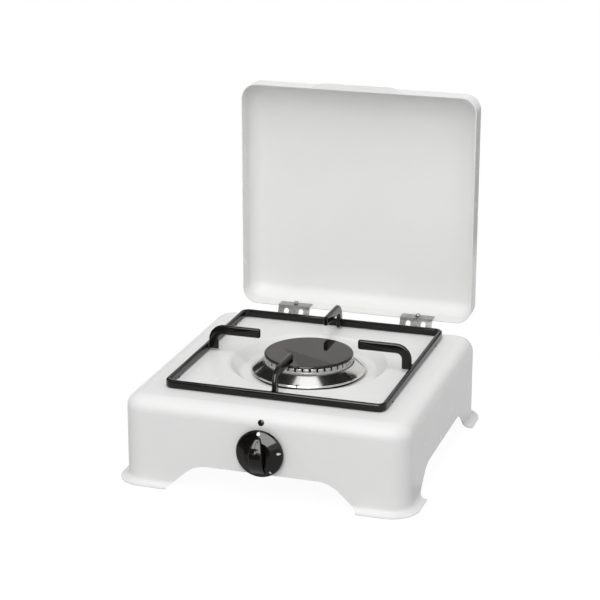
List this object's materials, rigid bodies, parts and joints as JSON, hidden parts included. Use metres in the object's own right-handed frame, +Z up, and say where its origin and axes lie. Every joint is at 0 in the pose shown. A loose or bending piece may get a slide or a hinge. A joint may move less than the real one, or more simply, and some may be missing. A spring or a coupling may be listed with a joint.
{
  "type": "camping stove",
  "caption": "Table-top camping stove with one gas burner, a lift-off pan support, a push-and-turn tap knob and a folding sheet lid.",
  "frame": {"origin": "on the floor, midway between the knob's front and the back of the open lid, on the stove's centre line", "axes": "+Z up, +Y from the knob to the hinges, +X to the right of someone facing the knob"},
  "size_m": [0.2712, 0.328, 0.3034],
  "materials": {
    "white_enamel": "gloss enamel",
    "black_enamel": "gloss enamel",
    "cap_enamel": "satin enamel",
    "zinc_steel": "zinc plated",
    "polished_steel": "polished",
    "cast_aluminium": "machined casting",
    "brass": "turned",
    "black_plastic": "gloss",
    "pipe_steel": "drawn tube"
  },
  "bodies": {
    "cabinet": {"cabinet_shell": "white_enamel", "hinge_bracket_left": "zinc_steel", "hinge_bracket_right": "zinc_steel", "hinge_pin_left": "zinc_steel", "hinge_pin_right": "zinc_steel", "bracket_screws": "zinc_steel", "bracket_nuts": "zinc_steel", "spill_ring": "polished_steel", "burner_base": "cast_aluminium", "burner_screws": "zinc_steel", "burner_nuts": "zinc_steel", "mixer_tube": "cast_aluminium", "air_shutter": "zinc_steel", "injector": "brass", "tap_bonnet": "zinc_steel", "tap_body": "brass", "panel_screws": "zinc_steel", "gas_pipe": "pipe_steel", "tap_union_nut": "brass", "inlet_nozzle": "brass", "inlet_washer": "zinc_steel", "inlet_locknut": "brass"},
    "lid": {"lid_shell": "white_enamel", "lid_strap_left": "zinc_steel", "lid_strap_right": "zinc_steel", "lid_rivets": "zinc_steel"},
    "pan_support": {"support_frame": "black_enamel", "support_studs": "black_enamel", "support_finger_front": "black_enamel", "support_finger_back": "black_enamel", "support_finger_left": "black_enamel", "support_finger_right": "black_enamel"},
    "crown": {"burner_crown": "cast_aluminium"},
    "cap": {"burner_cap": "cap_enamel"},
    "spindle": {"tap_plug": "brass", "stem_spring": "zinc_steel"},
    "control": {"knob": "black_plastic", "tap_stem": "zinc_steel", "knob_clip": "zinc_steel"}
  },
  "joints": [
    {"name": "lid_hinge", "type": "hinge", "parent": "cabinet", "child": "lid", "pos_m": [0, 0.11355, 0.0609], "axis": [-1, 0, 0], "range_deg": [-90, 0]},
    {"name": "knob_turn", "type": "hinge", "parent": "cabinet", "child": "spindle", "pos_m": [0, -0.14725, 0.0435], "axis": [0, -1, 0], "range_deg": [0, 160]},
    {"name": "knob_push", "type": "slide", "parent": "spindle", "child": "control", "axis": [0, 1, 0], "range_m": [0, 0.0025], "stiffness_N_per_m": 900, "deforming": ["stem_spring"]},
    {"name": "pan_support_lift", "type": "slide", "parent": "cabinet", "child": "pan_support", "axis": [0, 0, 1], "range_m": [0, 0.04]},
    {"name": "crown_lift", "type": "slide", "parent": "cabinet", "child": "crown", "axis": [0, 0, 1], "range_m": [0, 0.03]},
    {"name": "cap_lift", "type": "slide", "parent": "crown", "child": "cap", "axis": [0, 0, 1], "range_m": [0, 0.02]}
  ]
}
